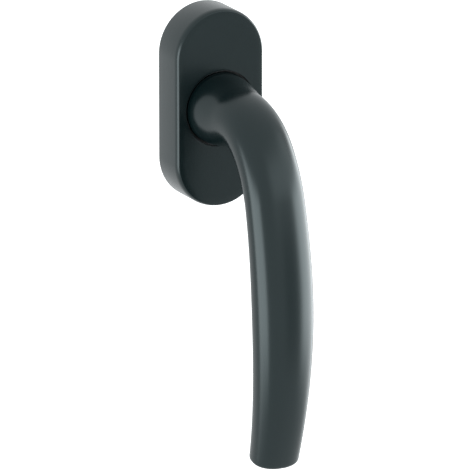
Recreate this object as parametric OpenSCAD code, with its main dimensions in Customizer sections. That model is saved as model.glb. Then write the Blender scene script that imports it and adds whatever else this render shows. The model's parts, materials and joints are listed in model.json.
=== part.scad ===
// Window handle: a bow-shaped lever turning on an oval rose, with its ball detent,
// cover cap, square spindle and fixing screws. Units are millimetres.
// +Z is up, the wall is the plane Y = 0 and the handle stands out towards -Y.
// The origin is on the wall plane, on the axis of the spindle.

/* [Rose] */
// Width of the oval rose
rose_w = 32; // [31:0.5:40]
// Height of the oval rose
rose_h = 67; // [63:0.5:82]
// Depth of the rose, from the wall to its face
rose_d = 13.5; // [13:0.5:17]
// Radius of the rounded edge around the face
edge_r = 1.6; // [0.8:0.1:2.4]
// Side wall of the cover cap
cap_wall = 1.4; // [1:0.1:1.8]
// Face thickness of the cover cap
cap_face = 1.6; // [1.2:0.1:2]

/* [Fixing] */
// Distance between the two fixing screws
screw_pitch = 43; // [41:1:52]
// Diameter of the two locating lugs
lug_d = 10; // [9.5:0.5:11]
// Height of the lugs behind the wall plane
lug_out = 4; // [2:0.5:8]
// Nominal diameter of the fixing screws
screw_d = 5; // [4:0.5:5]
// Length of the fixing screws under the head
screw_len = 20; // [16:1:45]
// Width across the flats of the square spindle
spindle_w = 7; // [6:0.5:7.5]
// How far the spindle stands out behind the wall plane
spindle_out = 20; // [15:1:45]

/* [Lever] */
// Diameter of the round neck
neck_d = 24.2; // [20:0.1:24.4]
// Straight length of the neck in front of the rose
neck_len = 13.4; // [11.2:0.2:15]
// Radius of the elbow on the centre line
elbow_r = 21; // [18:0.5:26]
// Angle through which the elbow turns
elbow_turn = 48; // [40:1:54]
// Radius of the haunch between the elbow and the grip
haunch_r = 38; // [30:1:50]
// Angle through which the haunch turns
haunch_turn = 27; // [18:1:30]
// Radius of the long bow of the grip
bow_r = 165; // [140:1:220]
// Distance from the spindle axis down to the middle of the lever's end
lever_drop = 110.5; // [95:0.5:135]
// Width of the lever where the elbow begins
waist_w = 20.8; // [18:0.2:22]
// Thickness of the lever where the elbow begins
waist_t = 19; // [16:0.2:21]
// Width of the lever where the elbow ends
elbow_w = 20.2; // [18:0.2:22]
// Thickness of the lever where the elbow ends
elbow_t = 15; // [13:0.2:18]
// Width at the middle of the grip
grip_w = 21; // [17:0.2:24]
// Thickness at the middle of the grip
grip_t = 15; // [12:0.2:18]
// Width at the end of the grip
tip_w = 16.8; // [13:0.2:20]
// Thickness at the end of the grip
tip_t = 13.2; // [10:0.2:16]

/* [Detent] */
// Wall of the journal outside the corners of the spindle
journal_wall = 1.55; // [1.4:0.05:1.8]
// Width of the detent disc's rim around the journal
disc_rim = 2.3; // [2:0.1:2.7]
// Thickness of the detent disc
disc_t = 3; // [2.6:0.1:3.4]
// Diameter of the detent balls
ball_d = 3.5; // [3:0.1:3.6]
// How deep a ball drops into its notch
notch_depth = 0.8; // [0.5:0.1:0.9]

/* [Hidden] */
$fn = 96;
eps = 0.01;          // overlap that keeps cuts clean

// Clearances
run_gap = 0.05;      // radial clearance of a running fit
ring_gap = 0.08;     // radial clearance of the guide ring on the neck
loose_gap = 0.15;    // between pieces that only slip over each other
ball_gap = 0.1;      // around a ball in its bore
face_gap = 0.1;      // between the disc and the floor of its pocket
land_gap = 0.05;     // between a lifted ball and the rim of the disc
wall_gap = 0.3;      // between the rim of the cap and the wall

// Stack of the bearing, as distances out from the wall
plate_in = 0.2;                                   // the back plate lies this deep
plate_t = 1.2;                                    // back plate
journal_in = plate_in + plate_t + 0.3;            // inner end of the journal
ring_t = 1;                                       // retaining ring
ring_in = journal_in + 0.5;                       // its groove
washer_h = 0.7;                                   // spring washer, as fitted
disc_in = ring_in + ring_t + washer_h;            // back of the detent disc
disc_out = disc_in + disc_t;
pocket_out = disc_out + face_gap;                 // floor of the pocket
shoulder = rose_d - cap_face - wall_gap;          // shoulder of the neck
thrust_t = 0.6;
bush_out = shoulder - thrust_t;                   // face of the bush flange
flange_t = 0.8;
boss_out = bush_out - flange_t;                   // top of the bearing boss
rim_out = boss_out - 1.8;                         // top of the base plate's rim
ball_level = (disc_in + disc_out) / 2;

// Radii of the bearing
journal_r = spindle_w / 2 * sqrt(2) + journal_wall;
flat_half = journal_r - 1.2;                      // half the width across the journal's flats
groove_r = journal_r - 0.5;                       // bottom of the ring groove
bush_r = journal_r + 2;
neck_r = neck_d / 2;
flange_r = neck_r - 1;
disc_r = journal_r + disc_rim;
pocket_r = disc_r + 0.3;
boss_r = pocket_r + 2.9;
ring_r = neck_r + ring_gap;                       // bore of the guide ring

// Detent balls and springs, along Z
ball_r = ball_d / 2;
ball_up = disc_r + ball_r + land_gap;             // ball centre, lifted onto the land
spring_in = ball_up + ball_r;
spring_wall = 0.7;                                // between a spring and the lug sleeve behind it
lug_r = lug_d / 2;
sleeve_r = lug_r + 0.4;                           // the part of a lug sleeve inside the base plate
screw_up = screw_pitch / 2;
spring_out = screw_up - sleeve_r - spring_wall;
spring_wire = 0.4;
spring_r = ball_r - 0.45;                         // mean radius of the coil
spring_turns = 4;

// Base plate
cap_in_r = rose_w / 2 - cap_wall;                 // half width inside the cap
base_r = cap_in_r - loose_gap;                    // half width of the base plate
end_up = (rose_h - rose_w) / 2;                   // centres of the oval's round ends
floor_t = 3;
rim_t = 2;
rib_t = 7.2;                                      // rib between the bearing boss and the screws
boss_wall = 2;                                    // wall around a lug sleeve
small_boss_r = 2.4;
head_seat = 5.2;                                  // seat of the screw heads
head_d = 9.5;
head_h = 3.2;
screw_hole_r = screw_d / 2 + 0.2;
thread_r = screw_d / 2 - 0.05;                    // thread, measured over its crests
shank_r = screw_d / 2 - 0.3;                      // plain shank under the head
thread_from = -lug_out - 0.3;                     // the thread begins just behind the lugs
plate_half = boss_r;                              // half width of the back plate
plate_corner = 3;
small_screw_at = plate_half - 2.4;                // back plate screws, off centre both ways
small_screw_r = 1;
small_head_r = 1.9;
small_screw_len = 6;
small_slot_w = 0.4;                               // slot of their cross recess
small_slot_l = 2.2;

// Clips that hold the cap
clip_up = 12.5;
clip_wide = 5;
clip_t = 0.4;
clip_slot = 1.5;                                  // depth of a clip's slot in the rim
clip_low = 3.2;
clip_tall = rim_out - clip_low - 0.2;

// Socket of the spindle in the neck
socket_w = spindle_w + 2 * run_gap;
spindle_in = rose_d + 18;                         // outer end of the spindle
socket_end = spindle_in + 0.4;
clip_leaf_t = 0.4;
clip_leaf_w = 4;
clip_leaf_in = 12;
clip_leaf_len = 16;
clip_leaf_rise = 0.3;

// Centre line of the lever: straight neck, then the arcs of the elbow, the haunch and the bow,
// each starting where the last one ends and in the same direction
tip_r = 1.5;                                      // rounding around the end of the lever
neck_taper = shoulder + 2.5;                      // the neck is round and even up to here
sweep_in = neck_taper - 1.5;                      // where the swept part begins, inside the neck
elbow_out = rose_d + neck_len;                    // where the elbow begins
bow_from = elbow_turn + haunch_turn;              // turn at which the bow takes over
elbow_drop = elbow_r * (1 - cos(elbow_turn));
elbow_reach = elbow_out + elbow_r * sin(elbow_turn);
haunch_drop = elbow_drop + haunch_r * (cos(elbow_turn) - cos(bow_from));
haunch_reach = elbow_reach + haunch_r * (sin(bow_from) - sin(elbow_turn));
bow_to = acos(cos(bow_from) - (lever_drop - tip_r - haunch_drop) / bow_r);
neck_run = elbow_out - sweep_in;
elbow_run = elbow_r * elbow_turn * PI / 180;
haunch_run = haunch_r * haunch_turn * PI / 180;
bow_run = bow_r * (bow_to - bow_from) * PI / 180;
lever_run = neck_run + elbow_run + haunch_run + bow_run;
grip_at = neck_run + elbow_run + haunch_run + 0.45 * bow_run;     // where the grip is widest
lever_sides = 44;
lever_power = 2.2;                                // 2 is an ellipse, more is squarer

// ---- Shared shapes, drawn with their Z axis pointing out from the wall ----

// Turns a shape drawn flat on the wall so that its Z axis points out of the wall
module outward() {
    rotate([90, 0, 0]) children();
}

// Oval plate with half width r, from level lo to level hi
module oval(r, lo, hi) {
    translate([0, 0, lo]) linear_extrude(hi - lo) {
        for (up = [-end_up, end_up]) translate([0, up]) circle(r);
        translate([-r, -end_up]) square([2 * r, 2 * end_up]);
    }
}

// Half section of an oval body: half width r, depth d, front edge rounded by e
module oval_section(r, d, e) {
    square([r, d - e]);
    square([r - e, d]);
    translate([r - e, d - e]) intersection() {
        circle(e);
        square(e);
    }
}

// Oval body with a rounded front edge
module oval_body(r, d, e) {
    for (side = [0, 1]) rotate([0, 0, 180 * side]) {
        translate([0, end_up, 0]) rotate_extrude(angle = 180) oval_section(r, d, e);
        translate([0, end_up, 0]) rotate([90, 0, 0]) linear_extrude(2 * end_up) oval_section(r, d, e);
    }
}

// Tube between two radii
module tube(r_in, r_out, lo, hi) {
    translate([0, 0, lo]) difference() {
        cylinder(r = r_out, h = hi - lo);
        translate([0, 0, -eps]) cylinder(r = r_in, h = hi - lo + 2 * eps);
    }
}

// Shaft with two flats, which carries the detent disc
module flatted(r, half, lo, hi) {
    translate([0, 0, lo]) intersection() {
        cylinder(r = r, h = hi - lo);
        translate([-half, -r, 0]) cube([2 * half, 2 * r, hi - lo]);
    }
}

// Faces of a closed skin over rings of points, with flat ends
function skin_faces(rings, sides) = concat(
    [[for (k = [0 : sides - 1]) k]],
    [for (i = [0 : rings - 2], k = [0 : sides - 1])
        let (a = i * sides + k, b = i * sides + (k + 1) % sides)
        each [[a, a + sides, b], [b, a + sides, b + sides]]],
    [[for (k = [sides - 1 : -1 : 0]) (rings - 1) * sides + k]]
);

// ---- Lever ----

// Smooth change from one size to the next as t goes from 0 to 1
function ease(from, to, t) =
    let (u = min(max(t, 0), 1)) from + (to - from) * u * u * (3 - 2 * u);

// Distances along the sweep at which sizes are given, and half the width and thickness there
lever_at = [neck_taper - sweep_in, neck_run, neck_run + elbow_run, grip_at, lever_run];
half_w = [neck_r - eps, waist_w / 2, elbow_w / 2, grip_w / 2, tip_w / 2];
half_t = [neck_r - eps, waist_t / 2, elbow_t / 2, grip_t / 2, tip_t / 2];

// Slope of the sizes v between two places, and at a place: level where the neck ends
function span_slope(v, i) = (v[i + 1] - v[i]) / (lever_at[i + 1] - lever_at[i]);
function place_slope(v, i) =
    i == 0 ? 0
    : i == len(lever_at) - 1 ? span_slope(v, i - 1)
    : (span_slope(v, i - 1) + span_slope(v, i)) / 2;

// Size at distance s: a cubic between neighbouring places that keeps their slopes
function lever_size(v, s) = s <= lever_at[0] ? v[0] :
    let (i = max([for (k = [0 : len(lever_at) - 2]) if (s > lever_at[k]) k]),
         h = lever_at[i + 1] - lever_at[i],
         t = (s - lever_at[i]) / h,
         w = t * t * (3 - 2 * t))
    v[i] * (1 - w) + v[i + 1] * w
        + place_slope(v, i) * h * t * (1 - t) * (1 - t)
        - place_slope(v, i + 1) * h * t * t * (1 - t);

// Place and turn of the centre line at distance s: [up, out, turn]
function lever_line(s) =
    s < neck_run ? [0, sweep_in + s, 0]
    : s < neck_run + elbow_run ?
        let (a = (s - neck_run) / elbow_r * 180 / PI)
        [elbow_r * (cos(a) - 1), elbow_out + elbow_r * sin(a), a]
    : s < neck_run + elbow_run + haunch_run ?
        let (a = elbow_turn + (s - neck_run - elbow_run) / haunch_r * 180 / PI)
        [haunch_r * (cos(a) - cos(elbow_turn)) - elbow_drop,
         elbow_reach + haunch_r * (sin(a) - sin(elbow_turn)), a]
    : let (a = bow_from + (s - neck_run - elbow_run - haunch_run) / bow_r * 180 / PI)
        [bow_r * (cos(a) - cos(bow_from)) - haunch_drop,
         haunch_reach + bow_r * (sin(a) - sin(bow_from)), a];

// Signed power, which squares up an ellipse
function spow(v, p) = sign(v) * pow(abs(v), p);

// One ring of the lever around the centre line, pulled in by inset and pushed on by ahead
function lever_ring(s, inset, ahead) =
    let (c = lever_line(s),
         a = lever_size(half_w, s) - inset,
         b = lever_size(half_t, s) - inset,
         p = 2 / ease(2, lever_power, s / (neck_run + elbow_run)))
    [for (k = [0 : lever_sides - 1])
        let (t = 360 * k / lever_sides,
             x = a * spow(cos(t), p),
             y = b * spow(sin(t), p))
        [x,
         c[0] + y * cos(c[2]) - ahead * sin(c[2]),
         c[1] + y * sin(c[2]) + ahead * cos(c[2])]];

neck_steps = 8;
elbow_steps = 10;
haunch_steps = 7;
bow_steps = 18;
tip_steps = 4;
lever_stops = concat(
    [for (i = [0 : neck_steps - 1]) neck_run * i / neck_steps],
    [for (i = [0 : elbow_steps - 1]) neck_run + elbow_run * i / elbow_steps],
    [for (i = [0 : haunch_steps - 1]) neck_run + elbow_run + haunch_run * i / haunch_steps],
    [for (i = [0 : bow_steps]) lever_run - bow_run * (1 - i / bow_steps)]
);
lever_rings = concat(
    [for (s = lever_stops) each lever_ring(s, 0, 0)],
    [for (i = [1 : tip_steps])
        let (t = 90 * i / tip_steps)
        each lever_ring(lever_run, tip_r * (1 - cos(t)), tip_r * sin(t))]
);

// Lever: round neck, elbow and bow-shaped grip, with the journal and the spindle socket
module lever() {
    color("#343c3e") outward() difference() {
        union() {
            translate([0, 0, shoulder]) cylinder(r = neck_r, h = neck_taper - shoulder);
            polyhedron(lever_rings, skin_faces(len(lever_stops) + tip_steps, lever_sides));
            translate([0, 0, disc_out]) cylinder(r = journal_r, h = shoulder - disc_out + eps);
            flatted(journal_r, flat_half, journal_in, disc_out + eps);
        }
        tube(groove_r, journal_r + 1, ring_in, ring_in + ring_t);
        translate([-socket_w / 2, -socket_w / 2, journal_in - eps])
            cube([socket_w, socket_w, socket_end - journal_in + eps]);
        translate([0, -clip_leaf_w / 2 - loose_gap, clip_leaf_in - loose_gap])
            cube([socket_w / 2 + clip_leaf_rise + clip_leaf_t + loose_gap,
                clip_leaf_w + 2 * loose_gap, clip_leaf_len + 2 * loose_gap]);
    }
}

// Square spindle with broken corners
module spindle() {
    length = spindle_in + spindle_out;
    chamfer = 0.6;
    corner_r = spindle_w / 2 * sqrt(2) - 0.2;
    color("#a9acae") outward() translate([0, 0, -spindle_out]) intersection() {
        translate([-spindle_w / 2, -spindle_w / 2, 0]) cube([spindle_w, spindle_w, length]);
        rotate_extrude() polygon([
            [0, 0], [corner_r - chamfer, 0], [corner_r, chamfer],
            [corner_r, length - chamfer], [corner_r - chamfer, length], [0, length]
        ]);
    }
}

// Bowed leaf that takes up the play of the spindle in its socket
module spindle_clip() {
    leaf_r = (pow(clip_leaf_len / 2, 2) + pow(clip_leaf_rise, 2)) / (2 * clip_leaf_rise);
    inner = socket_w / 2 + clip_leaf_rise;
    color("#c6c8c9") outward() intersection() {
        translate([inner - leaf_r, 0, clip_leaf_in + clip_leaf_len / 2]) rotate([90, 0, 0])
            difference() {
                cylinder(r = leaf_r + clip_leaf_t, h = clip_leaf_w, center = true, $fn = 720);
                cylinder(r = leaf_r, h = clip_leaf_w + 1, center = true, $fn = 720);
            }
        translate([0, -clip_leaf_w / 2, clip_leaf_in]) cube([inner + 1, clip_leaf_w, clip_leaf_len]);
    }
}

// ---- Detent ----

// Disc that turns with the lever, with a notch for the balls at every quarter turn
module detent_disc() {
    color("#8f9496") outward() difference() {
        translate([0, 0, disc_in]) cylinder(r = disc_r, h = disc_t);
        flatted(journal_r + run_gap, flat_half + run_gap, disc_in - 1, disc_out + 1);
        for (turn = [0 : 90 : 270]) rotate([0, 0, turn])
            translate([ball_up - notch_depth, 0, disc_in - 1])
                cylinder(r = ball_r + ball_gap, h = disc_t + 2);
    }
}

// Ball of the detent, above or below the spindle
module detent_ball(side) {
    color("#d4d6d8") outward() translate([0, side * ball_up, ball_level]) sphere(r = ball_r);
}

// Coil spring behind a ball
module detent_spring(side) {
    sides = 6;
    steps = 14 * spring_turns;
    span = spring_out - spring_in - spring_wire;
    rings = [for (i = [0 : steps])
        let (turn = 360 * spring_turns * i / steps,
             rise = spring_in + spring_wire / 2 + span * i / steps)
        for (k = [0 : sides - 1])
            let (t = 360 * k / sides, out = spring_r + spring_wire / 2 * cos(t))
            [out * cos(turn), out * sin(turn), rise + spring_wire / 2 * sin(t)]];
    color("#b9bcbe") outward() translate([0, 0, ball_level]) rotate([-90 * side, 0, 0])
        polyhedron(rings, skin_faces(steps + 1, sides));
}

// Dished washer that keeps the lever pulled in
module spring_washer() {
    lo = ring_in + ring_t;
    step = washer_h / 2;
    r_in = journal_r + loose_gap;
    color("#9aa0a2") outward() translate([0, 0, lo]) rotate_extrude()
        polygon([[r_in, 0], [disc_r - 0.4, step], [disc_r - 0.4, washer_h], [r_in, step]]);
}

// Open ring in the groove at the inner end of the journal
module retaining_ring() {
    ring_out = journal_r + 1.3;
    ear_r = 1.1;
    ear_at = ring_out - 0.4;
    ear_turn = 14;
    color("#5d6164") outward() translate([0, 0, ring_in]) linear_extrude(ring_t) difference() {
        union() {
            circle(ring_out);
            for (turn = [-ear_turn, ear_turn]) rotate(turn) translate([0, -ear_at]) circle(ear_r);
        }
        circle(groove_r);
        translate([-ear_r, -ring_out - 2]) square([2 * ear_r, ring_out]);
        for (turn = [-ear_turn, ear_turn]) rotate(turn) translate([0, -ear_at])
            circle(0.5, $fn = 32);
    }
}

// Flat washer between the neck's shoulder and the bush
module thrust_washer() {
    color("#d9d4c4") outward() tube(journal_r + loose_gap, flange_r, bush_out, shoulder);
}

// ---- Rose ----

// Oval cover cap, an open shell with a hole for the neck
module cover_cap() {
    hole_r = ring_r + 0.6;
    color("#343c3e") outward() difference() {
        intersection() {
            oval_body(rose_w / 2, rose_d, edge_r);
            oval(rose_w / 2 + 1, wall_gap, rose_d + 1);
        }
        oval(cap_in_r, -1, rose_d - cap_face);
        cylinder(r = hole_r, h = rose_d + 1);
        cylinder(r = hole_r + 0.7, h = rose_d - cap_face / 2);
    }
}

// Plastic ring pressed into the cap from behind, which guides it on the neck
module guide_ring() {
    step_r = ring_r + 0.6 + 0.7;
    back = rose_d - cap_face;
    color("#1b1c1d") outward() difference() {
        union() {
            translate([0, 0, back]) cylinder(r = step_r, h = cap_face / 2);
            translate([0, 0, back - 0.8]) cylinder(r = step_r + 1, h = 0.8);
        }
        translate([0, 0, back - 1]) cylinder(r = ring_r, h = cap_face + 2);
    }
}

// Base plate that carries everything and is screwed to the sash
module base_plate() {
    color("#2a2c2e") outward() difference() {
        union() {
            oval(base_r, 0, floor_t);
            difference() {
                oval(base_r, 0, rim_out);
                oval(base_r - rim_t, floor_t, rim_out + 1);
            }
            cylinder(r = boss_r, h = boss_out);
            intersection() {
                oval(base_r, 0, rim_out);
                for (side = [-1, 1]) {
                    translate([0, side * screw_up, 0])
                        cylinder(r = sleeve_r + boss_wall, h = rim_out);
                    translate([-rib_t / 2, side > 0 ? 0 : -screw_up, 0])
                        cube([rib_t, screw_up, rim_out]);
                }
            }
            for (x = [-1, 1], y = [-1, 1])
                translate([x * small_screw_at, y * small_screw_at, 0])
                    cylinder(r = small_boss_r, h = rim_out);
            for (x = [-1, 1], y = [-1, 1])
                translate([x * (base_r - rim_t - 0.5) - 0.8, y * clip_up - clip_wide / 2 - 1, 0])
                    cube([1.6, clip_wide + 2, rim_out]);
        }
        translate([0, 0, -1]) cylinder(r = pocket_r, h = pocket_out + 1);
        cylinder(r = bush_r, h = rose_d);
        translate([0, 0, ball_level]) rotate([90, 0, 0])
            cylinder(r = ball_r + ball_gap, h = 2 * spring_out, center = true);
        translate([0, 0, -1]) back_plate_outline(plate_half + loose_gap, plate_in + plate_t + 1);
        for (side = [-1, 1]) translate([0, side * screw_up, -1]) {
            cylinder(r = sleeve_r, h = head_seat + 1);
            translate([0, 0, head_seat + 1]) cylinder(r = sleeve_r + run_gap, h = rim_out);
        }
        for (x = [-1, 1], y = [-1, 1])
            translate([x * small_screw_at, y * small_screw_at, 0])
                cylinder(r = small_screw_r, h = plate_in + small_screw_len + 0.5);
        for (x = [-1, 1], y = [-1, 1])
            translate([x * (base_r - clip_slot / 2 + 0.5) - clip_slot / 2 - 0.5,
                y * clip_up - clip_wide / 2 - loose_gap, clip_low - loose_gap])
                cube([clip_slot + 1, clip_wide + 2 * loose_gap, rim_out]);
    }
}

// Rounded square with half width half, from level 0 to level h
module back_plate_outline(half, h) {
    arm = half - plate_corner;
    linear_extrude(h) {
        square([2 * half, 2 * arm], center = true);
        square([2 * arm, 2 * half], center = true);
        for (x = [-arm, arm], y = [-arm, arm]) translate([x, y]) circle(plate_corner);
    }
}

// Steel sleeves pressed into the base plate, standing out behind it as locating lugs
module lug_sleeves() {
    color("#a4a8aa") outward() for (side = [-1, 1]) translate([0, side * screw_up, 0])
        difference() {
            union() {
                cylinder(r = sleeve_r, h = head_seat);
                translate([0, 0, -lug_out]) cylinder(r = lug_r, h = lug_out + eps);
            }
            translate([0, 0, -lug_out - 1]) cylinder(r = screw_hole_r, h = rose_d);
        }
}

// Flanged bush in the base plate
module bearing_bush() {
    color("#e4e0d2") outward() {
        difference() {
            union() {
                translate([0, 0, pocket_out]) cylinder(r = bush_r, h = bush_out - pocket_out);
                translate([0, 0, boss_out]) cylinder(r = flange_r, h = flange_t);
            }
            cylinder(r = journal_r + run_gap, h = rose_d);
        }
    }
}

// Steel plate that closes the detent from behind
module back_plate() {
    color("#9c9f9c") outward() difference() {
        translate([0, 0, plate_in]) back_plate_outline(plate_half, plate_t);
        cylinder(r = spindle_w / 2 * sqrt(2) + 0.4, h = 3 * plate_t);
        for (x = [-1, 1], y = [-1, 1])
            translate([x * small_screw_at, y * small_screw_at, 0]) small_screw_shape(run_gap);
    }
}

// Countersunk shape of a back plate screw, with room around it
module small_screw_shape(room) {
    translate([0, 0, plate_in - room]) cylinder(
        r1 = small_head_r + room, r2 = small_screw_r + room, h = small_head_r - small_screw_r + room);
    translate([0, 0, plate_in]) cylinder(r = small_screw_r + room, h = small_screw_len);
}

// Four small countersunk screws of the back plate
module back_plate_screws() {
    color("#b4b6b7") outward() for (x = [-1, 1], y = [-1, 1])
        translate([x * small_screw_at, y * small_screw_at, 0]) difference() {
            small_screw_shape(0);
            for (turn = [0, 90]) rotate([0, 0, turn])
                translate([-small_slot_l / 2, -small_slot_w / 2, 0])
                    cube([small_slot_l, small_slot_w, plate_in + 0.5]);
        }
}

// Two pan-head fixing screws with cross recesses
module fixing_screws() {
    recess = 2;          // depth, length and width of the cross recess
    recess_l = 4.8;
    recess_w = 1;
    point_h = 0.6;
    color("#b4b6b7") outward() for (side = [-1, 1]) translate([0, side * screw_up, 0]) {
        difference() {
            rotate_extrude() {
                translate([0, head_seat]) oval_section(head_d / 2, head_h, 1.4);
            }
            for (turn = [0, 90]) rotate([0, 0, turn])
                translate([-recess_l / 2, -recess_w / 2, head_seat + head_h - recess])
                    cube([recess_l, recess_w, recess + 1]);
        }
        translate([0, 0, thread_from]) cylinder(r = shank_r, h = head_seat - thread_from + eps);
        translate([0, 0, head_seat - screw_len]) {
            cylinder(r1 = thread_r - point_h, r2 = thread_r, h = point_h);
            translate([0, 0, point_h])
                cylinder(r = thread_r, h = thread_from - head_seat + screw_len - point_h + eps);
        }
    }
}

// Folded leaf springs in the rim of the base plate, which grip the cap
module cap_clips() {
    inner = base_r - clip_slot + loose_gap;
    outer = cap_in_r - ball_gap;
    fold_r = (outer - inner) / 2 - 0.1;
    bow = clip_tall;
    color("#c0c2c3") outward() for (x = [-1, 1], y = [-1, 1])
        translate([0, y * clip_up + clip_wide / 2, 0]) mirror([x < 0 ? 1 : 0, 0, 0])
            rotate([90, 0, 0]) linear_extrude(clip_wide) {
                translate([inner, clip_low]) square([clip_t, clip_tall - fold_r]);
                translate([inner + fold_r, clip_low + clip_tall - fold_r]) intersection() {
                    difference() {
                        circle(fold_r);
                        circle(fold_r - clip_t);
                    }
                    translate([-fold_r, 0]) square([2 * fold_r, fold_r]);
                }
                intersection() {
                    translate([outer - bow, clip_low + clip_tall / 2]) difference() {
                        circle(bow, $fn = 180);
                        circle(bow - clip_t, $fn = 180);
                    }
                    translate([inner + clip_t + 0.1, clip_low + 0.3])
                        square([clip_slot + 1, clip_tall - fold_r + clip_t]);
                }
            }
}

lever();
spindle();
spindle_clip();
detent_disc();
spring_washer();
retaining_ring();
thrust_washer();
cover_cap();
guide_ring();
base_plate();
lug_sleeves();
bearing_bush();
back_plate();
back_plate_screws();
fixing_screws();
cap_clips();
detent_ball(1);  // detent_ball_upper
detent_ball(-1);  // detent_ball_lower
detent_spring(1);  // detent_spring_upper
detent_spring(-1);  // detent_spring_lower
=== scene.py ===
"""Window handle on an oval rose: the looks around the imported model.

Sizes are in millimetres and become metres in world(). Shapes are worked out in the handle's
own directions: x to the right, up, and out from the wall.
"""

import json
import math

import bpy
import numpy as np
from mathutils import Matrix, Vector

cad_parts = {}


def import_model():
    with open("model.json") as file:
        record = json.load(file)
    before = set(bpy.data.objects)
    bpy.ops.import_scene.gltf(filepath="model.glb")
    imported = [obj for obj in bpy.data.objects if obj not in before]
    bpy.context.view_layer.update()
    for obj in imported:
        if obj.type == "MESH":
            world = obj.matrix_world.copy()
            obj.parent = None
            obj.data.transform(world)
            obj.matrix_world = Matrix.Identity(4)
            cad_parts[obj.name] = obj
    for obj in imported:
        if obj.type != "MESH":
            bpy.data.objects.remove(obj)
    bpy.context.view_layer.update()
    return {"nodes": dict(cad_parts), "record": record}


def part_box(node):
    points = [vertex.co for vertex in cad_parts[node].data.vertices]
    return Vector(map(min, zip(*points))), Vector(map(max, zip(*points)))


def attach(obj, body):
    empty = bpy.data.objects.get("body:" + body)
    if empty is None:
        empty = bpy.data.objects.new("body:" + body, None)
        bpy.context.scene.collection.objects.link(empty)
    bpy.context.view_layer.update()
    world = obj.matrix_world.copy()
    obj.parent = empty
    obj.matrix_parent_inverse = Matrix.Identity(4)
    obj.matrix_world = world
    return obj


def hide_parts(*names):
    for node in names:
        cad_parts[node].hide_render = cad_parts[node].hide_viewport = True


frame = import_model()

MM = 0.001
TURN = 2 * math.pi


# ---- Sizes, from the frame where it gives them ----

def node_box(name):
    """Lowest and highest corner of a node in millimetres, as (x, out, up) with out turned positive."""
    lo, hi = (np.array(corner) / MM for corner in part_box(name))
    return np.array([lo[0], -hi[1], lo[2]]), np.array([hi[0], -lo[1], hi[2]])


CAP_LO, CAP_HI = node_box("cover_cap")
BASE_LO, BASE_HI = node_box("base_plate")
RING_LO, RING_HI = node_box("guide_ring")
BUSH_LO, BUSH_HI = node_box("bearing_bush")
THRUST_LO, THRUST_HI = node_box("thrust_washer")
SLEEVE_LO, SLEEVE_HI = node_box("lug_sleeves")
SCREW_LO, SCREW_HI = node_box("fixing_screws")
SPINDLE_LO, SPINDLE_HI = node_box("spindle")
DISC_LO, DISC_HI = node_box("detent_disc")
CLIP_LO, CLIP_HI = node_box("spindle_clip")
SPRING_LO, SPRING_HI = node_box("spring_washer")
LEVER_LO, LEVER_HI = node_box("lever")

ROSE_R = CAP_HI[0]                      # half width of the rose
ROSE_END = CAP_HI[2] - ROSE_R           # centre of each round end, above and below the spindle
ROSE_FACE = CAP_HI[1]
CAP_BACK = CAP_LO[1]
EDGE_ACROSS, EDGE_DEEP = 0.85, 2.2        # rounded front edge, across the face and down the side
CAP_FACE = 1.6                          # face thickness
CAP_GAP = 0.15                          # between the cap and the base plate
CAP_IN_R = BASE_HI[0] + CAP_GAP
NECK_R = LEVER_HI[0]
SHOULDER = THRUST_HI[1]                 # where the neck begins
RING_STEP_R = RING_HI[0] - 1            # outside of the guide ring, without its flange
RING_BORE = NECK_R + 0.08               # the ring runs round the neck with this gap
RING_FIT = 0.02                         # the ring is this much smaller than its seat
RING_FLANGE_T = 0.8
CAP_HOLE_R = RING_BORE + 0.6

# Lever
NECK_LEN = 13.4                         # straight neck in front of the rose
NECK_EVEN = 2.5                         # the neck is even this far from its shoulder
ELBOW_R, ELBOW_TURN = 21.0, 48.0        # radius and angle of each arc of the centre line
HAUNCH_R, HAUNCH_TURN = 38.0, 27.0
BOW_R = 165.0
LEVER_DROP = 110.5
GRIP_PLACE = 0.45                       # share of the bow at which the grip has its full size
NECK_ROUND = 0.3                        # rounding of the neck's end
TIP_R = 1.5                             # rounding around the end
SIZES_W = (24.2, 20.8, 20.2, 21.0, 16.8)  # width of the neck, elbow's start and end, grip and tip
SIZES_T = (24.2, 19.0, 15.0, 15.0, 13.2)  # thickness at the same places
SQUARENESS = 2.2                        # 2 is an ellipse, more is squarer
SKIN_INSET = 0.03                       # the skin lies this far inside the nominal surface

# Bearing and fixing
JOURNAL_R = 6.5
JOURNAL_IN = 1.7
JOURNAL_FLAT = JOURNAL_R - 1.2
GROOVE = (2.2, 3.2, JOURNAL_R - 0.5)    # inner level, outer level and bottom radius
SCREW_UP = 21.5
SCREW_R = 2.5
SHANK_R = SCREW_R - 0.32                # plain shank under the head
THREAD_CREST, THREAD_ROOT = SCREW_R - 0.07, SCREW_R - 0.5
SCREW_PITCH = 0.8
HEAD_SEAT = SLEEVE_HI[1]
HEAD_R = SCREW_HI[0]
RECESS_R = 2.5                          # reach and depth of the cross recess
RECESS_DEPTH = 1.8
RECESS_ARM = 0.62                       # half width of each arm
SPINDLE_HALF = SPINDLE_HI[0]
LEAF_HALF = CLIP_HI[2] + 0.15           # room for the leaf that steadies the spindle
LEAF_LO, LEAF_HI = CLIP_LO[1], CLIP_HI[1]
LEAF_DEEP = CLIP_HI[0] - SPINDLE_HALF + 0.1
LEAF_ROOM = 0.15                        # at either end of the leaf
SOCKET_ROOM = 0.05                      # between the spindle and its socket
SOCKET_CORNER = 9                       # beyond the corners, so that they stay square
SPINDLE_SKIN = 0.01                     # the spindle is drawn this much thinner
CHAMFER = 0.6                           # at both ends of the spindle
BEVEL = 0.3                             # at the socket's mouth and the journal's end
BUSH_FLANGE_T, BUSH_WALL, BUSH_ROOM = 0.8, 2, 0.05
WASHER_ROOM = 0.15                      # between a washer and the journal
SLEEVE_ROOM, LUG_STEP = 0.2, 0.4        # round the screw, and from the head end down to the lug


# ---- Camera ----

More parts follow.
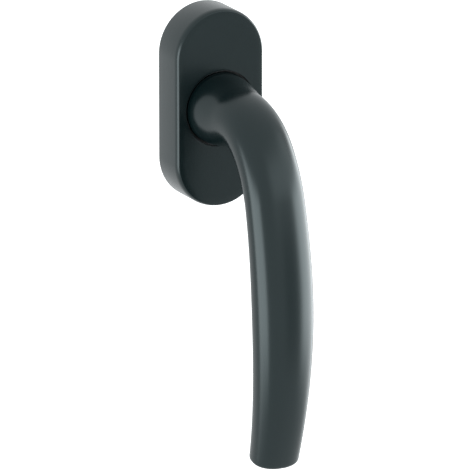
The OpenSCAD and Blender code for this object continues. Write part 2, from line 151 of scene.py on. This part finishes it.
def place_camera(azimuth, elevation, target, width, distance=2.5):
    """Long-lens camera. Azimuth 0 looks at the front of the rose, and a negative one from its
    left. The lens takes in a width, in millimetres, at the target."""
    a, e = math.radians(azimuth), math.radians(elevation)
    back = Vector((math.sin(a) * math.cos(e), -math.cos(a) * math.cos(e), math.sin(e)))
    data = bpy.data.cameras.new("camera")
    data.sensor_width = 36
    data.lens = 36 * distance / (width * MM)
    data.clip_start, data.clip_end = 0.05, 50
    camera = bpy.data.objects.new("camera", data)
    bpy.context.collection.objects.link(camera)
    camera.location = Vector(target) * MM + back * distance
    camera.rotation_euler = (-back).to_track_quat("-Z", "Y").to_euler()
    bpy.context.scene.camera = camera


place_camera(azimuth=-28, elevation=17, target=(3.54, -16.76, -43.02), width=154.6)


# ---- Meshes ----

def world(x, up, out):
    """Points in metres from x, up and out in millimetres."""
    x, up, out = np.broadcast_arrays(x, up, out)
    return np.stack([x, -out, up], axis=-1) * MM


def smooth(t):
    """Goes from 0 to 1 with level ends: t * t * (3 - 2 t), with t held between 0 and 1."""
    t = np.clip(t, 0, 1)
    return t * t * (3 - 2 * t)


def grid_faces(rows, cols, wrap_rows=False):
    """Quads between neighbours of a grid whose columns close on themselves."""
    last = rows if wrap_rows else rows - 1
    i, j = np.meshgrid(np.arange(last), np.arange(cols), indexing="ij")
    i2, j2 = (i + 1) % rows, (j + 1) % cols
    return np.stack([i * cols + j, i2 * cols + j, i2 * cols + j2, i * cols + j2], -1).reshape(-1, 4)


def signed_volume(points, faces):
    """Sum over the faces, as fans from their first corner, of a . (b x c) / 6."""
    total = 0.0
    for k in range(1, faces.shape[1] - 1):
        a, b, c = points[faces[:, 0]], points[faces[:, k]], points[faces[:, k + 1]]
        total += np.einsum("ij,ij->i", a, np.cross(b, c)).sum() / 6
    return total


def skin(name, shells, body, finish, replaced=()):
    """One piece from grids of points: each grid is (rows, columns, 3), its columns close on
    themselves, and its ends close on a centre point unless it is marked as a loop of rows."""
    verts, quads, tris, start = [], [], [], 0
    for points, loop in shells:
        rows, cols = points.shape[:2]
        flat = points.reshape(-1, 3)
        faces = grid_faces(rows, cols, loop)
        fans = np.zeros((0, 3), int)
        if not loop:
            j = np.arange(cols)
            first = np.stack([np.full(cols, rows * cols), j, (j + 1) % cols], -1)
            top = (rows - 1) * cols
            final = np.stack([np.full(cols, rows * cols + 1), top + (j + 1) % cols, top + j], -1)
            fans = np.concatenate([first, final])
            flat = np.concatenate([flat, points[:1].mean(axis=1), points[-1:].mean(axis=1)])
        centre = flat.mean(axis=0)
        volume = signed_volume(flat - centre, faces)
        if len(fans):
            volume += signed_volume(flat - centre, fans)
        if volume < 0:
            faces, fans = faces[:, ::-1], fans[:, ::-1]
        verts.append(flat)
        quads.append(faces + start)
        tris.append(fans + start)
        start += len(flat)
    mesh = bpy.data.meshes.new(name)
    faces = np.concatenate(quads).tolist() + np.concatenate(tris).tolist()
    mesh.from_pydata(np.concatenate(verts).tolist(), [], faces)
    mesh.shade_smooth()
    mesh.set_sharp_from_angle(angle=math.radians(38))
    piece = bpy.data.objects.new(name, mesh)
    bpy.context.collection.objects.link(piece)
    piece.data.materials.append(finish)
    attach(piece, body)
    if replaced:
        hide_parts(*replaced)
    return piece


def filleted(corners, steps=5):
    """Path through corners (a, b, radius), each rounded by an arc of its radius: the arc starts
    and ends radius / tan(half the corner's angle) from the corner. A radius of 0 stays sharp."""
    path = []
    for i, (a, b, radius) in enumerate(corners):
        here = np.array([a, b], float)
        if radius == 0 or i in (0, len(corners) - 1):
            path.append(here)
            continue
        before = np.array(corners[i - 1][:2]) - here
        after = np.array(corners[i + 1][:2]) - here
        before, after = before / np.linalg.norm(before), after / np.linalg.norm(after)
        half = math.acos(np.clip(before @ after, -1, 1)) / 2
        middle = (before + after) / np.linalg.norm(before + after)
        centre = here + middle * radius / math.sin(half)
        start = here + before * radius / math.tan(half) - centre
        end = here + after * radius / math.tan(half) - centre
        sweep = math.acos(np.clip(start @ end / radius ** 2, -1, 1))
        for t in np.linspace(0, 1, steps + 1):
            path.append(centre + (start * math.sin((1 - t) * sweep) + end * math.sin(t * sweep))
                        / math.sin(sweep))
    return np.array(path)


def lathe(corners, up=0.0, cols=128, steps=4):
    """Turned shape: a closed path of corners (radius, out, fillet) carried round the out axis."""
    ring = corners[-1:] + corners + corners[:1]
    path = filleted([tuple(c) for c in ring], steps)[1:-1]
    angle = np.arange(cols) * TURN / cols
    radius, out = path[:, :1], path[:, 1:]
    return world(radius * np.cos(angle), up + radius * np.sin(angle), out + 0 * angle), True


# ---- Lever ----

def blend_sizes(s, places, sizes):
    """Size at distance s: cubics between neighbouring places, whose slope at each place is the
    mean of the slopes on either side, level at the first."""
    places, sizes = np.array(places), np.array(sizes)
    spans = np.diff(sizes) / np.diff(places)
    slopes = np.concatenate([[0], (spans[:-1] + spans[1:]) / 2, spans[-1:]])
    i = np.clip(np.searchsorted(places, s, side="right") - 1, 0, len(places) - 2)
    h = np.diff(places)[i]
    t = np.clip((s - places[i]) / h, 0, 1)
    w = t * t * (3 - 2 * t)
    return (sizes[i] * (1 - w) + sizes[i + 1] * w
            + slopes[i] * h * t * (1 - t) ** 2 - slopes[i + 1] * h * t * t * (1 - t))


def signed_power(v, p):
    """Keeps the sign of v and raises its size to p, which squares up an ellipse."""
    return np.sign(v) * np.abs(v) ** p


class LeverLine:
    """The lever's centre line: a straight neck, then the arcs of the elbow, the haunch and the
    bow, each starting where the last one ends and in the same direction."""

    def __init__(self):
        turns = [0, math.radians(ELBOW_TURN), math.radians(ELBOW_TURN + HAUNCH_TURN)]
        radii = [ELBOW_R, HAUNCH_R, BOW_R]
        s, up, out = ROSE_FACE + NECK_LEN - SHOULDER, 0.0, ROSE_FACE + NECK_LEN
        self.arcs = []
        for i, (radius, start) in enumerate(zip(radii, turns)):
            self.arcs.append((s, up, out, radius, start))
            if i < 2:
                end = turns[i + 1]
            else:
                end = math.acos(math.cos(start) - (LEVER_DROP - TIP_R + up) / radius)
            s += radius * (end - start)
            up -= radius * (math.cos(start) - math.cos(end))
            out += radius * (math.sin(end) - math.sin(start))
        self.s_end = s
        self.s_neck, self.s_elbow, s_bow = (arc[0] for arc in self.arcs)
        self.s_grip = s_bow + GRIP_PLACE * (s - s_bow)

    def at(self, s):
        """(up, out, turn) at distances s from the shoulder. On an arc, up falls by
        radius * (cos start - cos turn) and out grows by radius * (sin turn - sin start)."""
        up, out, turn = 0 * s, SHOULDER + s, 0 * s
        for s0, up0, out0, radius, start in self.arcs:
            here = s >= s0
            angle = start + (s - s0) / radius
            turn = np.where(here, angle, turn)
            up = np.where(here, up0 - radius * (math.cos(start) - np.cos(angle)), up)
            out = np.where(here, out0 + radius * (np.sin(angle) - math.sin(start)), out)
        return up, out, turn


LINE = LeverLine()


def lever_grid(cols=144):
    """Rings of a superellipse (|x/a|^p + |y/b|^p = 1) square to the centre line. The neck's end
    and the lever's end are rounded by quarter circles: inset r (1 - cos t), ahead r sin t."""
    t = np.linspace(0, math.pi / 2, 7)[1:]
    body = np.concatenate([np.linspace(NECK_ROUND, LINE.s_neck, 40)[:-1],
                           np.linspace(LINE.s_neck, LINE.s_grip, 110)[:-1],
                           np.linspace(LINE.s_grip, LINE.s_end, 70)])
    s = np.concatenate([NECK_ROUND * (1 - np.sin(t[::-1])), body, np.full(len(t), LINE.s_end)])
    inset = np.concatenate([NECK_ROUND * (1 - np.cos(t[::-1])), 0 * body,
                            TIP_R * (1 - np.cos(t))])
    ahead = np.concatenate([0 * t, 0 * body, TIP_R * np.sin(t)])
    places = [NECK_EVEN, LINE.s_neck, LINE.s_elbow, LINE.s_grip, LINE.s_end]
    a = blend_sizes(s, places, SIZES_W) / 2 - inset - SKIN_INSET
    b = blend_sizes(s, places, SIZES_T) / 2 - inset - SKIN_INSET
    power = 2 / (2 + (SQUARENESS - 2) * smooth(s / LINE.s_elbow))
    up, out, turn = LINE.at(s)
    angle = np.arange(cols) * TURN / cols
    x = a[:, None] * signed_power(np.cos(angle), power[:, None])
    y = b[:, None] * signed_power(np.sin(angle), power[:, None])
    sin, cos = np.sin(turn)[:, None], np.cos(turn)[:, None]
    return world(x, up[:, None] + y * cos - ahead[:, None] * sin,
                 out[:, None] + y * sin + ahead[:, None] * cos)


# ---- Rose ----

def oval_line(cols=360):
    """Centres and outward directions round the oval outline, with the columns spread evenly over
    its arcs and straight sides. The second half of the walk is the first turned by half a turn."""
    arc, side = math.pi * ROSE_R, 2 * ROSE_END
    k = np.arange(cols)
    walk = (k % (cols // 2)) * 2 * (arc + side) / cols
    angle = np.minimum(walk, arc) / ROSE_R
    drop = np.maximum(walk - arc, 0)
    sign = np.where(k < cols // 2, 1.0, -1.0)[:, None]
    direction = np.stack([np.cos(angle), np.sin(angle)], -1)
    centre = np.stack([0 * drop, ROSE_END - drop], -1)
    return centre * sign, direction * sign


def oval_ring(radius, out):
    """Ring round the oval of half width radius, at a level."""
    centre, direction = oval_line()
    x, up = (centre + direction * radius).T
    return world(x, up, np.full_like(x, out))


def hole_ring(radius, out):
    """Round ring whose points lie in the same directions as the oval's."""
    centre, direction = oval_line()
    x, up = (centre + direction * ROSE_R).T
    size = np.hypot(x, up)
    return world(x / size * radius, up / size * radius, np.full_like(x, out))


def cap_grid():
    """Section of the cap's wall carried round the oval, closed on itself: up the outside, over
    the rounded edge, across the face into the round hole, and back along the inside."""
    inside = ROSE_FACE - CAP_FACE
    turn = np.linspace(0, TURN / 4, 16)
    edge = np.stack([ROSE_R - EDGE_ACROSS * (1 - np.cos(turn)),
                     ROSE_FACE - EDGE_DEEP * (1 - np.sin(turn))], axis=1)
    outer = filleted([(CAP_IN_R, CAP_BACK, 0), (ROSE_R, CAP_BACK, 0.15),
                      tuple(edge[0]) + (0,)], 5)[1:-1]
    outer = np.concatenate([outer, edge, [(ROSE_R - 3, ROSE_FACE)]])
    hole = filleted([(RING_STEP_R + 1.5, ROSE_FACE, 0), (CAP_HOLE_R, ROSE_FACE, 0.12),
                     (CAP_HOLE_R, ROSE_FACE - CAP_FACE / 2, 0.05),
                     (RING_STEP_R, ROSE_FACE - CAP_FACE / 2, 0.05), (RING_STEP_R, inside, 0.05),
                     (RING_STEP_R + 0.5, inside, 0)], 4)[1:-1]
    inner = filleted([(CAP_IN_R - 0.5, inside, 0), (CAP_IN_R, inside, 0.3),
                      (CAP_IN_R, CAP_BACK, 0.15), (ROSE_R, CAP_BACK, 0)], 5)[1:-1]
    rings = [oval_ring(r, out) for r, out in outer]
    first = hole_ring(*hole[0])
    rings += [rings[-1] + (first - rings[-1]) * t for t in (0.2, 0.4, 0.6, 0.8, 0.93)]
    rings += [hole_ring(r, out) for r, out in hole]
    last, corner = rings[-1], oval_ring(*inner[0])
    rings += [last + (corner - last) * t for t in (0.1, 0.5)]
    rings += [oval_ring(r, out) for r, out in inner]
    return np.stack(rings), True


def screw_grid(up, cols=96):
    """Pan-head screw: from the point, along a thread whose crest follows the helix
    out / pitch = angle / turn, up the plain shank, and over the domed head. The cross recess
    lowers the head where x or up is near its middle."""
    point, start = SCREW_LO[1], SLEEVE_LO[1] - 0.3
    angle = np.arange(cols) * TURN / cols
    out = np.linspace(point, start, 200)[:, None]
    phase = out / SCREW_PITCH - angle / TURN
    ridge = 1 - np.abs(2 * (phase % 1) - 1)
    fade = np.minimum(smooth((out - point) / 0.8), smooth((start - out) / 0.6))
    radius = THREAD_ROOT + (THREAD_CREST - THREAD_ROOT) * np.clip(1.3 * ridge, 0, 1) * fade
    radius = np.minimum(radius, THREAD_ROOT - 0.35 + (out - point))
    rows = [world(radius * np.cos(angle), up + radius * np.sin(angle), out)]

    top = SCREW_HI[1]
    shank = filleted([(THREAD_ROOT, start, 0), (SHANK_R, start + 0.3, 0.1), (SHANK_R, HEAD_SEAT, 0),
                      (HEAD_R, HEAD_SEAT, 0.15), (HEAD_R, top, 1.4), (0, top, 0)], 8)[1:-1]
    rows.append(world(shank[:, :1] * np.cos(angle), up + shank[:, :1] * np.sin(angle),
                      shank[:, 1:] + 0 * angle))
    radius = np.linspace(shank[-1, 0] - 0.1, 0.05, 34)[:, None]
    x, y = radius * np.cos(angle), radius * np.sin(angle)
    arm = np.minimum(np.abs(x), np.abs(y))
    cut = smooth((RECESS_ARM - arm) / 0.22) * smooth((RECESS_R - radius) / 0.5)
    rows.append(world(x, up + y, top - RECESS_DEPTH * cut))
    return np.concatenate(rows), False


def square_ring(half, corner, out, cols=144, bulge=0.0):
    """Square ring of half width half whose corners are cut off at a radius: the distance from the
    axis is the smaller of half / max(|cos|, |sin|) and corner. A bulge pushes the middle of its
    right side outwards."""
    angle = np.arange(cols) * TURN / cols
    cos, sin = np.cos(angle), np.sin(angle)
    radius = np.minimum(half / np.maximum(np.abs(cos), np.abs(sin)), corner)
    x, up = radius * cos, radius * sin
    x = x + bulge * ((cos > 0) & (np.abs(up) < LEAF_HALF))
    return world(x, up, np.full_like(x, out))


def spindle_grid():
    """Square bar with its corners turned off and both ends chamfered."""
    corner = SPINDLE_HALF * math.sqrt(2) - 0.2
    lo, hi = SPINDLE_LO[1], SPINDLE_HI[1]
    half = SPINDLE_HALF - SPINDLE_SKIN
    rings = [square_ring(half, corner - CHAMFER, lo), square_ring(half, corner, lo + CHAMFER),
             square_ring(half, corner, hi - CHAMFER), square_ring(half, corner - CHAMFER, hi)]
    steps = np.linspace(0, 1, 12)[1:-1]
    middle = [rings[1] + (rings[2] - rings[1]) * t for t in steps]
    return np.stack(rings[:2] + middle + rings[2:]), False


def journal_rings(cols=144):
    """Socket and journal in front of the neck: from the bottom of the square socket to its mouth,
    over the journal's end, and along it to the shoulder. Where the disc sits, two flats cut the
    circle: radius = the smaller of the round one and flat / |cos|."""
    angle = np.arange(cols) * TURN / cols
    half, far = SPINDLE_HALF + SOCKET_ROOM, SPINDLE_HI[1] + 0.4
    leaf_lo, leaf_hi = LEAF_LO - LEAF_ROOM, LEAF_HI + LEAF_ROOM
    socket = [(half, far, 0), (half, leaf_hi, 0), (half, leaf_hi, LEAF_DEEP), (half, leaf_lo, LEAF_DEEP),
              (half, leaf_lo, 0), (half, JOURNAL_IN + BEVEL, 0), (half + BEVEL, JOURNAL_IN, 0)]
    rings = [square_ring(size, SOCKET_CORNER, out, bulge=bulge) for size, out, bulge in socket]
    disc_out = DISC_HI[1]
    lo, hi, bottom = GROOVE
    path = [(JOURNAL_R - BEVEL, JOURNAL_IN, 1), (JOURNAL_R, JOURNAL_IN + BEVEL, 1), (JOURNAL_R, lo, 1),
            (bottom, lo, 1), (bottom, hi, 1), (JOURNAL_R, hi, 1), (JOURNAL_R, disc_out, 1),
            (JOURNAL_R, disc_out, 0), (JOURNAL_R, SHOULDER, 0)]
    for radius, out, cut in path:
        flat = JOURNAL_FLAT / np.maximum(np.abs(np.cos(angle)), 1e-6)
        r = np.minimum(radius, flat) if cut else np.full(cols, radius)
        rings.append(world(r * np.cos(angle), r * np.sin(angle), np.full(cols, out)))
    return np.stack(rings)


# ---- Finishes ----

class Socket:
    """One output of a node. Arithmetic on it adds Math nodes to its tree."""

    def __init__(self, nodes, output):
        self.nodes, self.output = nodes, output

    def maths(self, operation, *values):
        return self.nodes.add("ShaderNodeMath", values, operation=operation)

    def __add__(self, other):
        return self.maths("ADD", self, other)

    def __sub__(self, other):
        return self.maths("SUBTRACT", self, other)

    def __rsub__(self, other):
        return self.maths("SUBTRACT", other, self)

    def __mul__(self, other):
        return self.maths("MULTIPLY", self, other)

    __radd__ = __add__
    __rmul__ = __mul__

    def between(self, lo, hi):
        """0 below lo and 1 above hi, with a smooth step between them."""
        return self.nodes.add("ShaderNodeMapRange", {"Value": self, "From Min": lo, "From Max": hi},
                              interpolation_type="SMOOTHSTEP")


class Nodes:
    """Nodes of a material or of the world."""

    def __init__(self, tree):
        self.tree = tree

    def add(self, kind, values=(), output=0, **settings):
        """Adds a node: first its settings, then its inputs by name or in order. A value is a
        number, a colour, a vector or another node's Socket. Gives the Socket of an output."""
        node = self.tree.nodes.new(kind)
        for key, value in settings.items():
            setattr(node, key, value)
        pairs = values.items() if isinstance(values, dict) else enumerate(values)
        for key, value in pairs:
            self.set(node.inputs[key], value)
        return Socket(self, node.outputs[output]) if len(node.outputs) else node

    def set(self, entry, value):
        if isinstance(value, Socket):
            self.tree.links.new(value.output, entry)
        else:
            entry.default_value = value

    def mix(self, factor, a, b):
        """Colour between a and b."""
        node = self.tree.nodes.new("ShaderNodeMix")
        node.data_type = "RGBA"
        colours = [s for s in node.inputs if s.type == "RGBA"]
        self.set(node.inputs["Factor"], factor)
        for entry, colour in zip(colours, (a, b)):
            self.set(entry, colour)
        return Socket(self, next(s for s in node.outputs if s.type == "RGBA"))


class Finish(Nodes):
    """Material around one Principled shader, with patterns that read Object coordinates."""

    def __init__(self, name, **constants):
        self.material = bpy.data.materials.new(name)
        self.material.use_nodes = True
        super().__init__(self.material.node_tree)
        self.shader = self.tree.nodes["Principled BSDF"]
        self.place = self.add("ShaderNodeTexCoord", output="Object")
        for key, value in constants.items():
            self.shader.inputs[key.replace("_", " ")].default_value = value

    def noise(self, size, detail=2.0, stretch=(1, 1, 1), rough=0.5):
        """Noise from 0 to 1 whose features are about size millimetres across."""
        place = self.add("ShaderNodeMapping", {"Vector": self.place, "Scale": stretch})
        return self.add("ShaderNodeTexNoise", {"Vector": place, "Scale": 1 / (size * MM),
                                               "Detail": detail, "Roughness": rough})

    def paint(self, **links):
        for key, value in links.items():
            self.set(self.shader.inputs[key.replace("_", " ")], value)
        return self

    def relief(self, height, depth, strength=1.0):
        """Bump whose height of 1 stands for depth millimetres."""
        return self.add("ShaderNodeBump", {"Strength": strength, "Distance": depth * MM,
                                           "Height": height})


def black_satin():
    """Baked satin paint: near black, with a fine soft texture and slightly uneven gloss."""
    f = Finish("black_satin", IOR=1.5, Specular_Tint=(0.86, 0.985, 1.0, 1))
    cloud, mottle, grain = f.noise(14, 3), f.noise(1.6, 3), f.noise(0.22, 2)
    colour = f.mix(cloud * 0.7 + mottle * 0.3, (0.0010, 0.0042, 0.0047, 1), (0.0018, 0.0070, 0.0077, 1))
    rough = 0.20 + cloud * 0.03 + mottle * 0.02 + grain * 0.02
    return f.paint(Base_Color=colour, Roughness=rough,
                   Normal=f.relief(grain * 0.7 + mottle * 0.3, 0.012, 0.2)).material


def plated_steel():
    """Bright zinc plate: bluish, with faint yellow clouds and drawn lines along the bar."""
    f = Finish("plated_steel", Metallic=1.0)
    cloud, speck = f.noise(5, 4), f.noise(0.35, 2)
    drawn = f.noise(0.5, 3, stretch=(1, 0.05, 1))
    colour = f.mix(cloud.between(0.4, 0.65), (0.50, 0.54, 0.58, 1), (0.60, 0.585, 0.53, 1))
    rough = 0.24 + cloud * 0.1 + drawn * 0.12
    return f.paint(Base_Color=colour, Roughness=rough,
                   Normal=f.relief(drawn * 0.7 + speck * 0.3, 0.02, 0.5)).material


def spring_steel():
    """Cold-rolled strip and wire: grey with fine lines and a touch of blue."""
    f = Finish("spring_steel", Metallic=1.0)
    cloud, lines = f.noise(3, 3), f.noise(0.2, 2, stretch=(0.1, 1, 1))
    colour = f.mix(cloud, (0.40, 0.42, 0.45, 1), (0.55, 0.56, 0.57, 1))
    return f.paint(Base_Color=colour, Roughness=0.2 + cloud * 0.1 + lines * 0.12,
                   Normal=f.relief(lines, 0.01, 0.4)).material


def polished_steel():
    """Ground and polished balls, with a light film of grease."""
    f = Finish("polished_steel", Metallic=1.0, Coat_Roughness=0.25)
    film = f.noise(1.2, 2)
    colour = f.mix(film, (0.62, 0.62, 0.62, 1), (0.72, 0.71, 0.69, 1))
    return f.paint(Base_Color=colour, Roughness=0.06 + film * 0.12, Coat_Weight=film * 0.4).material


def blackened_steel():
    """Phosphated ring: dull dark grey with a fine crystal grain."""
    f = Finish("blackened_steel", Metallic=0.7)
    cloud, grain = f.noise(2.5, 3), f.noise(0.12, 3)
    colour = f.mix(cloud * 0.6 + grain * 0.4, (0.045, 0.047, 0.05, 1), (0.10, 0.10, 0.10, 1))
    return f.paint(Base_Color=colour, Roughness=0.45 + grain * 0.25,
                   Normal=f.relief(grain, 0.01, 0.5)).material


def sintered_steel():
    """Pressed and sintered disc: grey with small dark pores."""
    f = Finish("sintered_steel", Metallic=1.0)
    cloud = f.noise(4, 3)
    pores = f.add("ShaderNodeTexVoronoi", {"Vector": f.place, "Scale": 1 / (0.35 * MM)})
    solid = pores.between(0.05, 0.3)
    metal = f.mix(cloud, (0.30, 0.30, 0.30, 1), (0.42, 0.42, 0.41, 1))
    colour = f.mix(solid, (0.10, 0.10, 0.10, 1), metal)
    return f.paint(Base_Color=colour, Roughness=0.55 - solid * 0.2 + cloud * 0.08,
                   Normal=f.relief(solid, 0.02, 0.5)).material


def bearing_plastic():
    """Creamy white acetal with a faint flow pattern."""
    f = Finish("bearing_plastic", IOR=1.48)
    flow, grain = f.noise(6, 3, stretch=(1, 2.5, 1)), f.noise(0.25, 2)
    colour = f.mix(flow, (0.60, 0.565, 0.47, 1), (0.70, 0.67, 0.585, 1))
    return f.paint(Base_Color=colour, Roughness=0.34 + flow * 0.08 + grain * 0.05,
                   Normal=f.relief(grain, 0.01, 0.3)).material


def black_plastic():
    """Matt black moulded ring."""
    f = Finish("black_plastic", IOR=1.46)
    cloud, grain = f.noise(3, 2), f.noise(0.15, 2)
    colour = f.mix(cloud, (0.010, 0.011, 0.012, 1), (0.018, 0.019, 0.020, 1))
    return f.paint(Base_Color=colour, Roughness=0.5 + grain * 0.12,
                   Normal=f.relief(grain, 0.015, 0.4)).material


def base_plastic():
    """Glass-filled base plate: charcoal, with pale fibre flecks and an eroded mould texture."""
    f = Finish("base_plastic", IOR=1.5)
    cloud, grain = f.noise(9, 4), f.noise(0.3, 3)
    fleck = f.noise(0.6, 2, stretch=(1, 1, 0.18)).between(0.60, 0.78)
    dark = f.mix(cloud, (0.022, 0.024, 0.026, 1), (0.034, 0.036, 0.038, 1))
    return f.paint(Base_Color=f.mix(fleck * 0.5, dark, (0.085, 0.087, 0.088, 1)),
                   Roughness=0.48 + grain * 0.14 + fleck * 0.06,
                   Normal=f.relief(grain, 0.03, 0.4)).material


FINISHES = {make.__name__: make() for make in (
    black_satin, plated_steel, spring_steel, polished_steel, blackened_steel, sintered_steel,
    bearing_plastic, black_plastic, base_plastic)}


# ---- Pieces ----

def piece(name, shells, body, slot, *replaced):
    """A visible piece that takes the place of CAD nodes, in the finish named by its slot."""
    return skin(name, shells, body, FINISHES[slot], replaced)


lever_shell = np.concatenate([journal_rings(), lever_grid()])
piece("lever_bow", [(lever_shell, False)], "handle", "black_satin", "lever")
piece("oval_cap", [cap_grid()], "cap", "black_satin", "cover_cap")
piece("square_spindle", [spindle_grid()], "handle", "plated_steel", "spindle")
piece("pan_head_screws", [screw_grid(up) for up in (-SCREW_UP, SCREW_UP)],
      "rose_base", "plated_steel", "fixing_screws")

step = RING_LO[1] + RING_FLANGE_T
rim, seat = RING_HI[0] - RING_FIT, RING_STEP_R - RING_FIT
piece("neck_guide_ring", [lathe([
    (RING_BORE, RING_LO[1], 0.1), (rim, RING_LO[1], 0.1), (rim, step, 0.1),
    (seat, step, 0.02), (seat, RING_HI[1], 0.12),
    (RING_BORE, RING_HI[1], 0.2)])], "cap", "black_plastic", "guide_ring")
flange = BUSH_HI[1] - BUSH_FLANGE_T
bore, tube = JOURNAL_R + BUSH_ROOM, JOURNAL_R + BUSH_WALL
piece("flanged_bush", [lathe([
    (bore, BUSH_LO[1], 0.15), (tube, BUSH_LO[1], 0.1), (tube, flange, 0.02),
    (BUSH_HI[0], flange, 0.1), (BUSH_HI[0], BUSH_HI[1], 0.15), (bore, BUSH_HI[1], 0.2)])],
    "rose_base", "bearing_plastic", "bearing_bush")
bore = JOURNAL_R + WASHER_ROOM
piece("flat_washer", [lathe([
    (bore, THRUST_LO[1], 0.08), (THRUST_HI[0], THRUST_LO[1], 0.08),
    (THRUST_HI[0], THRUST_HI[1], 0.08), (bore, THRUST_HI[1], 0.08)])],
    "handle", "bearing_plastic", "thrust_washer")
rise = (SPRING_HI[1] - SPRING_LO[1]) / 2
piece("dished_washer", [lathe([
    (bore, SPRING_LO[1], 0.05), (SPRING_HI[0], SPRING_LO[1] + rise, 0.05),
    (SPRING_HI[0], SPRING_HI[1], 0.05), (bore, SPRING_LO[1] + rise, 0.05)])],
    "handle", "spring_steel", "spring_washer")
bore, lug = SCREW_R + SLEEVE_ROOM, SLEEVE_HI[0] - LUG_STEP
piece("locating_sleeves", [lathe([
    (bore, SLEEVE_LO[1], 0.2), (lug, SLEEVE_LO[1], 0.5), (lug, 0, 0.02), (SLEEVE_HI[0], 0, 0.1),
    (SLEEVE_HI[0], SLEEVE_HI[1], 0.2), (bore, SLEEVE_HI[1], 0.2)], up) for up in (-SCREW_UP, SCREW_UP)],
    "rose_base", "plated_steel", "lug_sleeves")

slots = {row["node"]: row["material_slot"] for row in frame["record"]["subparts"]}
for node, cad in frame["nodes"].items():
    cad.data.materials.clear()
    cad.data.materials.append(FINISHES[slots[node]])


# ---- Studio ----

def light_room():
    """Soft light from all round by direction. Azimuth 0 is in front of the wall, 90 to its
    right, 180 behind it. The backdrop and floor look plain white."""
    scene = bpy.context.scene
    scene.world = bpy.data.worlds.new("studio")
    scene.world.use_nodes = True
    nodes = Nodes(scene.world.node_tree)
    nodes.tree.nodes.clear()
    place = nodes.add("ShaderNodeTexCoord", output="Generated")
    split = nodes.add("ShaderNodeSeparateXYZ", [place])
    x, y, z = (Socket(nodes, out) for out in split.output.node.outputs)
    azimuth = x.maths("ARCTAN2", x, y * -1)
    height = z.maths("ARCSINE", z)

    def band(value, lo, hi, soft):
        return (value.between(math.radians(lo - soft), math.radians(lo + soft))
                * (1 - value.between(math.radians(hi - soft), math.radians(hi + soft))))

    light = nodes.add("ShaderNodeValue")
    light.output.default_value = BASE_LIGHT
    total = light
    for (az_lo, az_hi, az_soft), (el_lo, el_hi, el_soft), strength in SOFTBOXES:
        total = total + band(azimuth, az_lo, az_hi, az_soft) * band(height, el_lo, el_hi, el_soft) * strength
    seen = nodes.add("ShaderNodeLightPath", output="Is Camera Ray")
    tint = nodes.mix(seen, (0.97, 1.0, 1.015, 1), (1, 1, 1, 1))
    strength = seen + (1 - seen) * total
    shader = nodes.add("ShaderNodeBackground", {"Color": tint, "Strength": strength})
    nodes.add("ShaderNodeOutputWorld", {"Surface": shader})
    scene.view_settings.view_transform = "Standard"


BASE_LIGHT = 1.0
SOFTBOXES = [
    ((-108, -52, 7), (-26, 12, 9), 3.5),
    ((48, 120, 9), (-22, 12, 8), 4.2),
    ((2, 84, 12), (12, 42, 10), 0.8),
    ((14, 38, 10), (-22, 10, 8), -0.4),
]
light_room()


def pale_floor():
    """Plain floor well below the handle, seen but casting no light of its own on it."""
    level, half = -1.0, 6.0
    mesh = bpy.data.meshes.new("floor")
    mesh.from_pydata([(-half, -half, level), (half, -half, level), (half, half, level), (-half, half, level)],
                     [], [(0, 1, 2, 3)])
    floor = bpy.data.objects.new("floor", mesh)
    bpy.context.collection.objects.link(floor)
    f = Finish("floor", Roughness=0.8, Emission_Strength=0.6)
    cloud = f.noise(900, 2)
    shade = f.mix(cloud, (0.90, 0.90, 0.90, 1), (0.93, 0.93, 0.93, 1))
    f.paint(Base_Color=shade, Emission_Color=shade)
    mesh.materials.append(f.material)
    floor.visible_diffuse = floor.visible_glossy = floor.visible_shadow = False


pale_floor()
